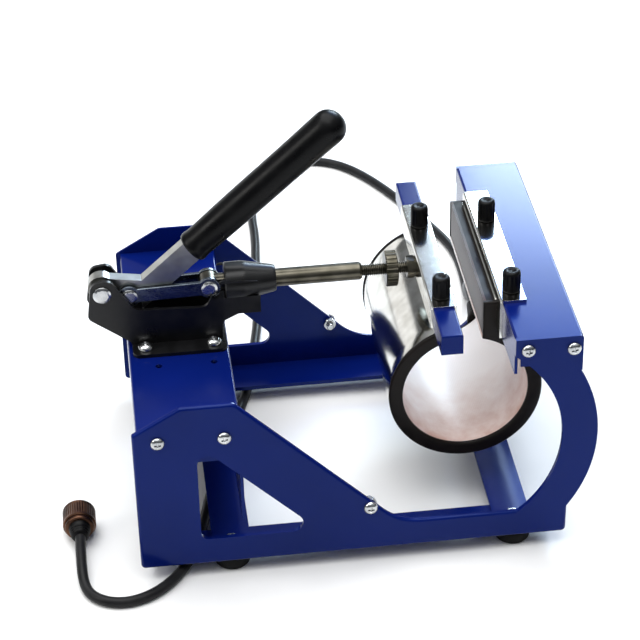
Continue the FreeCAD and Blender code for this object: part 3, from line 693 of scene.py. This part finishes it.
def screws(name, node, axis, sign, head_size):
    """Cross-recess heads and plain shanks in place of a node of screws."""
    head_radius, head_height = head_size
    head = cross_screw_head(head_radius, head_height, bpy.context.scene.press_sizes.recess_depth)
    profile = [(0.0, SHANK_R), (9.5 * MM, SHANK_R), (10 * MM, SHANK_R - 0.5 * MM)]
    seats = []
    shanks = []
    for place, direction in seats_of(node, axis, sign):
        seat = place - direction * head_height
        seats.append((seat, direction))
        shanks.append(lathe("shank", profile, seat - direction * 0.2 * MM, -direction, 20))
    heads = fasteners(name, head, seats, bright_zinc())
    mesh = joined(name, [heads] + shanks)
    return piece(name, mesh, bright_zinc(), "frame", (node,), angle=30)


# ---- operators ------------------------------------------------------------------------
class PRESS_OT_stage(bpy.types.Operator):
    """Set up the floor, the soft studio light and the camera"""
    bl_idname = "press.stage"
    bl_label = "Stage"

    def execute(self, context):
        stage = context.scene.press_stage
        context.scene.view_settings.view_transform = "Standard"
        self.floor(stage)
        self.lights(context)
        self.camera(context, stage)
        return {"FINISHED"}

    def floor(self, stage):
        half = 6.0
        mesh = mesh_of("floor", [(-half, -half, 0), (half, -half, 0), (half, half, 0), (-half, half, 0)],
                       [(0, 1, 2, 3)])

        def maker(tree):
            grain = noise(tree, 40, 2)
            pale = linear(stage.floor)
            dim = tuple(c * 0.97 for c in pale[:3]) + (1,)
            return {"Base Color": ramp(tree, grain, 0.3, 0.7, dim, pale)}
        piece("floor", mesh, surface("Pale studio floor", {"Roughness": 0.6}, maker))

    def lights(self, context):
        """A bright ceiling over a dim horizon, and softboxes above, behind and beside the press."""
        world = bpy.data.worlds.new("Soft studio")
        world.use_nodes = True
        tree = world.node_tree
        tree.nodes.clear()
        place = add(tree, "ShaderNodeTexCoord").outputs["Generated"]
        height = add(tree, "ShaderNodeSeparateXYZ", links={"Vector": place}).outputs["Z"]
        wall = linear("#3C4046")
        ceiling = linear("#F4F7FA")
        colour = ramp(tree, height, 0.25, 0.95, wall, ceiling)
        sky = add(tree, "ShaderNodeBackground", {"Strength": 0.9}, {"Color": colour})
        add(tree, "ShaderNodeOutputWorld", links={"Surface": sky.outputs["Background"]})
        context.scene.world = world
        # Name, place, aim, width, height, power in watts, colour.
        panels = [("top_light", (-0.25, 0.15, 2.1), (0, 0, 0.05), 2.4, 2.4, 62.0, "#FFFFFF"),
                  ("jaw_light", (0.83, 1.6, 1.2), (0.83, 0, 0.16), 0.9, 0.8, 78.0, "#E2F6FF"),
                  ("shell_light", (-0.95, 1.6, 0.38), (0.05, 0, 0.15), 1.1, 0.6, 2.6, "#FFFFFF"),
                  ("side_light", (-1.7, -0.5, 1.1), (0, 0, 0.1), 0.7, 0.7, 9.0, "#FFFDF8")]
        for name, place, aim, wide, tall, power, colour in panels:
            light = bpy.data.lights.new(name, "AREA")
            light.shape = "RECTANGLE"
            light.size = wide
            light.size_y = tall
            light.energy = power
            light.color = linear(colour)[:3]
            lamp = bpy.data.objects.new(name, light)
            context.scene.collection.objects.link(lamp)
            lamp.location = place
            lamp.rotation_euler = (Vector(aim) - Vector(place)).to_track_quat("-Z", "Y").to_euler()
            if name == "jaw_light":
                self.fade(light)

    def fade(self, light):
        """Let a softbox's panel fade out and turn bluer towards its upper edge."""
        light.use_nodes = True
        tree = light.node_tree
        tree.nodes.clear()
        place = add(tree, "ShaderNodeNewGeometry").outputs["Parametric"]
        up = add(tree, "ShaderNodeSeparateXYZ", links={"Vector": place}).outputs["Y"]
        glow = ramp(tree, up, 0.15, 0.56, (1, 1, 1, 1), (0.004, 0.03, 0.12, 1))
        lit = add(tree, "ShaderNodeEmission", {"Strength": 1.0}, {"Color": glow})
        add(tree, "ShaderNodeOutputLight", links={"Surface": lit.outputs["Emission"]})

    def camera(self, context, stage):
        lens = bpy.data.cameras.new("camera")
        lens.lens = stage.lens
        lens.sensor_width = 36.0
        camera = bpy.data.objects.new("camera", lens)
        context.scene.collection.objects.link(camera)
        place, aim = Vector(stage.camera_place), Vector(stage.camera_aim)
        look = (aim - place).to_track_quat("-Z", "Y").to_matrix().to_4x4()
        camera.matrix_world = Matrix.Translation(place) @ look @ Matrix.Rotation(stage.camera_roll, 4, "Z")
        context.scene.camera = camera


class PRESS_OT_sheet_metal(bpy.types.Operator):
    """Paint the folded sheet metal and round its edges"""
    bl_idname = "press.sheet_metal"
    bl_label = "Sheet metal"

    def execute(self, context):
        edge = context.scene.press_sizes.fold_edge
        for node in ("front_side_plate", "rear_side_plate", "tower_channel", "jaw_channel",
                     "tower_cross_strip", "arm_cross_strip"):
            eased_copy(node, edge, gloss_powder_coat(), "frame")
        return {"FINISHED"}


class PRESS_OT_fasteners(bpy.types.Operator):
    """Put cross-recess screws and chamfered nuts in the frame"""
    bl_idname = "press.fasteners"
    bl_label = "Fasteners"

    def execute(self, context):
        screws("tower_screw_heads", "tower_screws", 1, None, PAN_HEAD)
        screws("jaw_screw_heads", "jaw_channel_screws", 1, None, PAN_HEAD)
        screws("stop_bolt_heads", "stop_bolts", 1, None, PAN_HEAD)
        screws("clamp_bolt_heads", "clamp_bolts", 2, 1, CLAMP_HEAD)
        for node, body in (("foot_screws", "frame"), ("foot_nuts", "frame"), ("stop_bolt_nuts", "frame"),
                           ("clamp_nuts", "frame"), ("fixed_stud_nuts", "frame"), ("ear_pin", "frame"),
                           ("fixed_studs", "frame"), ("moving_studs", "push_rod"),
                           ("crank_pin", "lever"), ("link_pin_heads", "links"), ("plunger_pin", "push_rod")):
            eased_copy(node, FINE_EDGE, bright_zinc(), body)
        return {"FINISHED"}


class PRESS_OT_clamp(bpy.types.Operator):
    """Finish the stamped clamp: base, barrel, links and lever"""
    bl_idname = "press.clamp"
    bl_label = "Clamp"

    def execute(self, context):
        edge = context.scene.press_sizes.cast_edge
        eased_copy("clamp_base", edge * 1.6, satin_enamel(), "frame", 3)
        eased_copy("clamp_barrel", edge, satin_enamel(), "frame")
        eased_copy("toggle_links", edge * 1.6, link_steel_painted_reflection(), "links", 3)
        eased_copy("handle_lever", edge * 2, rolled_steel(), "lever", 3)
        return {"FINISHED"}


class PRESS_OT_grip(bpy.types.Operator):
    """Make the dipped vinyl grip with its rolled mouth and rounded end"""
    bl_idname = "press.grip"
    bl_label = "Grip"

    def execute(self, context):
        low, centre, _ = extent("handle_grip")
        axis = Vector((math.cos(LEVER_LEAN), 0, math.sin(LEVER_LEAN)))
        mouth_radius = 10.4 * MM
        start = Vector((low.x + mouth_radius * math.sin(LEVER_LEAN), centre.y,
                        low.z + mouth_radius * math.cos(LEVER_LEAN)))
        reach = 133.0 * MM
        profile = in_mm((3.0, 8.4), (0.6, 8.6), (0.0, 9.4), (0.5, 10.4), (2.0, 10.9), (4.0, 10.7),
                        (6.5, 10.4))
        rows = 26
        for i in range(rows + 1):
            share = i / rows
            swell = 10.4 + 1.35 * share ** 0.7 + 0.15 * math.sin(share * math.pi * 2)
            profile.append((8.0 * MM + share * (reach - 21.5 * MM), swell * MM))
        profile += quarter(reach - 11.2 * MM, 0.8 * MM, 10.95 * MM, 8, 90, 9)
        mesh = lathe("handle_grip_vinyl", profile, start, axis, 72)
        piece("handle_grip_vinyl", mesh, vinyl_grip(), "lever", ("handle_grip",), angle=60)
        return {"FINISHED"}


class PRESS_OT_push_rod(bpy.types.Operator):
    """Make the plunger, the threaded spindle, its nuts and the jaw bar"""
    bl_idname = "press.push_rod"
    bl_label = "Push rod"

    def execute(self, context):
        sizes = context.scene.press_sizes
        eased_copy("plunger", sizes.cast_edge, olive_zinc(), "push_rod")
        eased_copy("pressure_nut", 0.2 * MM, olive_zinc(), "pressure_disc")
        eased_copy("jaw_bar", sizes.fold_edge, gloss_powder_coat(), "push_rod")
        eased_copy("jaw_saddle", PLATED_EDGE, polished_stainless(), "push_rod")
        eased_copy("moving_bracket", PLATED_EDGE, rolled_steel(), "push_rod")
        low, centre, size = extent("spindle")
        axis = Vector((1, 0, 0))
        core = lathe("spindle_core", [(0, 3.2 * MM), (size.x, 3.2 * MM)],
                     (low.x, centre.y, centre.z), axis, 32)
        pitch = sizes.thread_pitch
        crest = lathe("thread_crest", [(0, 3.1 * MM), (pitch * 0.42, 3.98 * MM), (pitch * 0.58, 3.98 * MM),
                                       (pitch, 3.1 * MM)], (0, 0, 0), axis, 28)
        count = int(size.x / pitch)
        thread = ring_row("spindle_thread", crest, count, (low.x, centre.y, centre.z), (pitch, 0, 0),
                          olive_zinc())
        mesh = joined("threaded_spindle", [core, thread])
        piece("threaded_spindle", mesh, olive_zinc(), "push_rod", ("spindle",), angle=40)
        low, centre, size = extent("spindle_lock_nut")
        nut = hex_nut_shape(13.0 * MM, size.x, 3.9 * MM)
        seat = [((low.x + size.x, centre.y, centre.z), (-1, 0, 0))]
        mesh = fasteners("lock_nut_chamfered", nut, seat, olive_zinc(), 0.0)
        piece("lock_nut_chamfered", mesh, olive_zinc(), "push_rod", ("spindle_lock_nut",))
        return {"FINISHED"}


class PRESS_OT_thumb_nuts(bpy.types.Operator):
    """Make the four tall thumb nuts with their grip flutes"""
    bl_idname = "press.thumb_nuts"
    bl_label = "Thumb nuts"

    def execute(self, context):
        for side in ("fixed", "moving"):
            for end in ("front", "rear"):
                self.one(side + "_thumb_nut_" + end, side + "_knob_" + end)
        return {"FINISHED"}

    def one(self, node, body):
        low, centre, size = extent(node)
        height = size.z
        radius = size.x / 2
        flutes = 8

        def fluted(along, reach, turn):
            if along < 1.2 * MM or along > height - 1.6 * MM:
                return reach
            return reach - 0.5 * MM * (0.5 + 0.5 * math.cos(turn * flutes)) ** 3
        profile = [(0.0, 3.0 * MM), (0.0, radius - 0.6 * MM), (0.3 * MM, radius - 0.15 * MM),
                   (1.0 * MM, radius)]
        profile += [(height * share, radius) for share in (0.1, 0.3, 0.5, 0.7, 0.82)]
        profile += quarter(height - 2.6 * MM, radius - 2.6 * MM, 2.6 * MM, 0, 78, 6)
        profile += [(height - 0.5 * MM, 1.6 * MM), (height - 0.9 * MM, 1.2 * MM)]
        mesh = lathe(node + "_moulded", profile, (centre.x, centre.y, low.z), (0, 0, 1), 96, fluted)
        piece(node + "_moulded", mesh, black_nylon(), body, (node,), angle=50)


class PRESS_OT_bracket(bpy.types.Operator):
    """Finish the polished angle on the fixed jaw"""
    bl_idname = "press.bracket"
    bl_label = "Fixed bracket"

    def execute(self, context):
        eased_copy("fixed_bracket", 0.4 * MM, polished_stainless(), "frame", 3)
        return {"FINISHED"}


# ---- heater loop ----------------------------------------------------------------------
Loop = collections.namedtuple("Loop", "x z bore y0 y1 half left_top right_top")


def loop_place():
    """Centre (x, z), bore radius, both ends along Y, half slot and the two neck tops."""
    low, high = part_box("heater_liner")
    outer = (high.x - low.x) / 2
    left_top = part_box("moving_bracket")[1].z - 2.0 * MM
    right_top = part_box("heater_mat")[1].z
    return Loop((low.x + high.x) / 2, low.z + outer, outer - CLOTH_T * MM, low.y, high.y, HALF_SLOT * MM,
                left_top, right_top)


def loop_line(radius, half, left_top, right_top, neck=10, arc=88):
    """Section line from the left neck's top, round under the mug, to the right neck's top."""
    meet = math.sqrt(radius ** 2 - half ** 2)
    points = []
    for i in range(neck):
        points.append((-half, left_top + (meet - left_top) * i / neck))
    start = math.atan2(meet, -half)
    sweep = 2 * math.pi - (start - math.atan2(meet, half))
    for i in range(arc + 1):
        turn = start + sweep * i / arc
        points.append((radius * math.cos(turn), radius * math.sin(turn)))
    for i in range(1, neck + 1):
        points.append((half, meet + (right_top - meet) * i / neck))
    return points


def loop_layer(name, offset, thick, stations, neck=None):
    """One layer of the loop. A station is (y, inset): its faces draw in by the inset there.
    `neck` is how far its two ends rise above the loop's centre."""
    loop = loop_place()
    left, right = (neck, neck) if neck else (loop.left_top - loop.z, loop.right_top - loop.z)
    points = []
    faces = []
    texture = []
    for y, inset in stations:
        near = offset + inset
        far = offset + thick - inset
        inner = loop_line(loop.bore + near, loop.half + near, left - inset, right - inset)
        outer = loop_line(loop.bore + far, loop.half + far, left - inset, right - inset)
        travel = 0.0
        for i, (x, z) in enumerate(inner):
            if i:
                travel += math.dist(inner[i], inner[i - 1])
            points.append((loop.x + x, y, loop.z + z))
            texture.append((travel, y))
        for i, (x, z) in enumerate(outer):
            points.append((loop.x + x, y, loop.z + z))
            texture.append((texture[-len(inner)][0], y))
    count = len(inner)
    ring = 2 * count
    for s in range(len(stations) - 1):
        a, b = s * ring, (s + 1) * ring
        for i in range(count - 1):
            faces.append((a + i, b + i, b + i + 1, a + i + 1))
            faces.append((a + count + i + 1, b + count + i + 1, b + count + i, a + count + i))
        faces.append((a, a + count, b + count, b))
        faces.append((a + count - 1, b + count - 1, b + ring - 1, a + ring - 1))
    last = (len(stations) - 1) * ring
    for i in range(count - 1):
        faces.append((i, i + 1, count + i + 1, count + i))
        faces.append((last + i, last + count + i, last + count + i + 1, last + i + 1))
    mesh = outward(mesh_of(name, points, faces), merge=False)
    cloth = mesh.uv_layers.new(name="cloth")
    for corner in mesh.loops:
        cloth.data[corner.index].uv = texture[corner.vertex_index]
    smooth(mesh, 45)
    return mesh


def rounded_ends(y0, y1, radius, steps=3):
    """Stations whose thickness closes in a half-round at both ends."""
    made = []
    for i in range(steps + 1):
        turn = math.pi / 2 * i / steps
        made.append((y0 + radius * (1 - math.sin(turn)), radius * (1 - math.cos(turn))))
    front = sorted(made)
    back = [(y0 + y1 - y, inset) for y, inset in reversed(front)]
    inner = [(y0 + (y1 - y0) * i / 12, 0.0) for i in range(1, 12)]
    inner = [s for s in inner if front[-1][0] < s[0] < back[0][0]]
    return front + inner + back


def across_slot(made, node):
    """Hide a loop layer's engineering part and bake the layer's placement into its mesh."""
    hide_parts(node)
    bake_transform(made)


class PRESS_OT_heater(bpy.types.Operator):
    """Build the heater loop: liner cloth, heating mat, silicone-edged foam and steel shell"""
    bl_idname = "press.heater"
    bl_label = "Heater loop"

    def execute(self, context):
        trim = context.scene.press_sizes.trim_proud
        y0, y1 = loop_place().y0, loop_place().y1
        thin = 0.25 * MM
        cloth = loop_layer("liner_cloth", 0.0, CLOTH_T * MM, rounded_ends(y0 + 1.5 * MM, y1 - 1.5 * MM, thin),
                           neck=41.5 * MM)
        across_slot(piece("liner_cloth", cloth, liner_cloth()), "heater_liner")
        mat = loop_layer("heating_mat", CLOTH_T * MM, MAT_T * MM,
                         rounded_ends(y0 + 1.2 * MM, y1 - 1.2 * MM, 0.4 * MM))
        across_slot(piece("heating_mat", mat, heating_mat()), "heater_mat")
        foam = self.trimmed_foam(y0, y1, trim)
        across_slot(piece("silicone_foam", foam, edge_silicone()), "heater_pad")
        shell = loop_layer("steel_shell", (CLOTH_T + MAT_T + FOAM_T) * MM, STEEL_T * MM,
                           rounded_ends(y0 + trim - 0.6 * MM, y1 - trim + 0.6 * MM, 0.3 * MM))
        across_slot(piece("steel_shell", shell, polished_stainless()), "heater_shell")
        return {"FINISHED"}

    def trimmed_foam(self, y0, y1, trim):
        """Foam between mat and shell, with a rubber bead over all the layers at each end."""
        core = loop_layer("foam_core", (CLOTH_T + MAT_T) * MM, FOAM_T * MM,
                          rounded_ends(y0 + trim * 0.5, y1 - trim * 0.5, 0.3 * MM))
        whole = (CLOTH_T + MAT_T + FOAM_T + STEEL_T + 0.3) * MM
        layers = [core]
        past = 1.0 * MM
        for name, near, far in (("front_bead", y0 - past, y0 + trim), ("rear_bead", y1 - trim, y1 + past)):
            layers.append(loop_layer(name, 0.15 * MM, whole, rounded_ends(near, far, 1.6 * MM, 6)))
        mesh = joined("silicone_foam", layers)
        smooth(mesh, 45)
        return mesh


# ---- lead -----------------------------------------------------------------------------
# The lead in millimetres: down from the heater, round on the floor and up into the connector.
LEAD_DOWN = [(115.6, 98.5, 57), (116.2, 120.5, 56.5), (119.6, 144.5, 45), (123.6, 164.5, 23)]
LEAD_ON_FLOOR = [
    (128.6, 190.5), (131.1, 228.5), (129.1, 264.5), (116.1, 300.5), (100.1, 340.5), (79.1, 382.5),
    (58.6, 409.5), (36.6, 421), (12.1, 419), (-7.9, 404), (-19.9, 376.5), (-24.9, 339.5), (-24.9, 300.5),
    (-28.9, 260.5), (-30.9, 220.5), (-34.9, 178.5), (-41.9, 138.5), (-48.9, 96.5), (-60.9, 58.5),
    (-71.9, 18.5), (-84.9, -19.5), (-92.9, -55.5), (-101.9, -89.5), (-114.9, -113.5), (-128.9, -127.5),
    (-143.4, -134.5), (-157.4, -134.5), (-168.9, -128), (-175.4, -116.5)]
LEAD_UP = [(-176.7, -98.5, 9.2), (-176.4, -73.5, 11)]
LEAD_DIAMETER = 7.0 * MM
LEAD_HEIGHT = 3.5
LEAD_ROUTE = [tuple(round(value * MM, 4) for value in place)
              for place in LEAD_DOWN + [(x, y, LEAD_HEIGHT) for x, y in LEAD_ON_FLOOR] + LEAD_UP]


class PRESS_OT_lead(bpy.types.Operator):
    """Lay the heater lead, its strain relief and its round connector"""
    bl_idname = "press.lead"
    bl_label = "Heater lead"

    def execute(self, context):
        curve = bpy.data.curves.new("heater_flex", "CURVE")
        curve.dimensions = "3D"
        spline = curve.splines.new("NURBS")
        spline.points.add(len(LEAD_ROUTE) - 1)
        for point, place in zip(spline.points, LEAD_ROUTE):
            point.co = (*place, 1.0)
        spline.order_u = 3
        spline.use_endpoint_u = True
        spline.resolution_u = 10
        curve.bevel_depth = LEAD_DIAMETER / 2
        curve.bevel_resolution = 6
        curve.use_fill_caps = True
        curve.materials.append(cable_jacket())
        flex = bpy.data.objects.new("heater_flex", curve)
        context.scene.collection.objects.link(flex)
        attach(flex, "frame")
        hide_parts("heater_lead")
        boot = self.boot()
        plug = self.plug()
        return {"FINISHED"}

    def boot(self):
        """Ribbed, tapered strain relief."""
        low, centre, size = extent("lead_boot")
        long = size.y
        profile = in_mm((0.0, 6.5), (0.0, 7.6), (0.6, 8.0), (3.4, 8.0), (4.2, 7.2))
        ribs = 6
        span = long - 6.0 * MM
        for i in range(ribs):
            share = i / ribs
            at = 5.0 * MM + share * span
            step = span / ribs
            crest = (6.9 - 2.3 * share) * MM
            profile += [(at, crest - 0.7 * MM), (at + step * 0.25, crest - 0.7 * MM),
                        (at + step * 0.35, crest), (at + step * 0.85, crest - 0.25 * MM)]
        profile += [(long - 0.4 * MM, 4.4 * MM), (long, 4.0 * MM)]
        mesh = lathe("ribbed_boot", profile, (centre.x, low.y, centre.z), (0, 1, 0), 48)
        return piece("ribbed_boot", mesh, edge_silicone(), "frame", ("lead_boot",), angle=40)

    def plug(self):
        """Round metal connector: rubber sleeve, shell, knurled ring and gilt contacts."""
        made = []
        low, centre, size = extent("plug_sleeve")
        profile = in_mm((0, 4.2), (0.8, 5.4), (2.0, 6.0), (3.0, 5.7), (4.0, 6.4), (5.5, 6.1), (6.5, 7.0))
        profile.append((size.y, 7.4 * MM))
        sleeve = lathe("plug_gland", profile, (centre.x, low.y, centre.z), (0, 1, 0), 48)
        smooth(sleeve, 40)
        made.append(piece("plug_gland", sleeve, black_nylon(), "frame", ("plug_sleeve",)))
        made.append(eased_copy("plug_body", PLATED_EDGE, bronzed_brass(), "frame"))
        made.append(eased_copy("plug_pins", 0.1 * MM, gilt_contact(), "frame"))
        low, centre, size = extent("plug_ring")
        knurls = 40
        wide = size.x / 2
        span = size.y

        def knurled(along, reach, turn):
            inside = reach < wide - 1.4 * MM
            edge = along < 2.0 * MM or along > span - 2.0 * MM
            return reach if inside or edge else reach - 0.35 * MM * (0.5 + 0.5 * math.cos(turn * knurls))
        profile = in_mm((0.0, 8.8)) + [(0.0, wide - 0.8 * MM)]
        profile += [(along, wide) for along in (0.7 * MM, 2.4 * MM, 3.0 * MM, span / 2, span - 3.0 * MM,
                                                span - 2.4 * MM, span - 0.7 * MM)]
        profile += [(span, wide - 0.8 * MM), (span, 9.5 * MM), (span - 4.5 * MM, 9.5 * MM),
                    (span - 4.6 * MM, 8.8 * MM)]
        ring = lathe("knurled_ring", profile, (centre.x, low.y, centre.z), (0, 1, 0), 160, knurled,
                     bored=True)
        smooth(ring, 40)
        made.append(piece("knurled_ring", ring, bronzed_brass(), "plug_collar", ("plug_ring",)))
        return made


class PRESS_OT_feet(bpy.types.Operator):
    """Make the four moulded rubber feet"""
    bl_idname = "press.feet"
    bl_label = "Rubber feet"

    def execute(self, context):
        feet = []
        for place, _ in seats_of("rubber_feet", 2, -1):
            profile = in_mm((3.0, 5.0), (0.4, 5.6), (0.0, 6.4), (0.0, 9.6), (0.5, 10.6), (1.6, 11.4),
                            (7.0, 11.9), (9.2, 11.7), (10.0, 11.0))
            feet.append(lathe("foot", profile, (place.x, place.y, 0), (0, 0, 1), 56))
        mesh = joined("moulded_feet", feet)
        piece("moulded_feet", mesh, foot_rubber(), "frame", ("rubber_feet",), angle=40)
        return {"FINISHED"}


class PRESS_PT_panel(bpy.types.Panel):
    """Lists the steps that build the press"""
    bl_idname = "PRESS_PT_panel"
    bl_label = "Mug heat press"
    bl_space_type = "VIEW_3D"
    bl_region_type = "UI"
    bl_category = "Mug Press"

    def draw(self, context):
        for operator in OPERATORS:
            self.layout.operator(operator.bl_idname)
        for group in (context.scene.press_finish, context.scene.press_sizes, context.scene.press_stage):
            for name in group.bl_rna.properties.keys():
                if name not in ("rna_type", "name"):
                    self.layout.prop(group, name)


OPERATORS = (PRESS_OT_stage, PRESS_OT_lead, PRESS_OT_sheet_metal, PRESS_OT_fasteners, PRESS_OT_clamp,
             PRESS_OT_grip, PRESS_OT_push_rod, PRESS_OT_thumb_nuts, PRESS_OT_bracket, PRESS_OT_heater,
             PRESS_OT_feet)
GROUPS = (("press_finish", PressFinish), ("press_sizes", PressSizes), ("press_stage", PressStage))


def register():
    for name, group in GROUPS:
        bpy.utils.register_class(group)
        setattr(bpy.types.Scene, name, bpy.props.PointerProperty(type=group))
    for item in OPERATORS + (PRESS_PT_panel,):
        bpy.utils.register_class(item)


def unregister():
    for item in reversed(OPERATORS + (PRESS_PT_panel,)):
        bpy.utils.unregister_class(item)
    for name, group in reversed(GROUPS):
        delattr(bpy.types.Scene, name)
        bpy.utils.unregister_class(group)


def main():
    register()
    for operator in OPERATORS:
        family, name = operator.bl_idname.split(".")
        getattr(getattr(bpy.ops, family), name)()


if __name__ == "__main__":
    main()
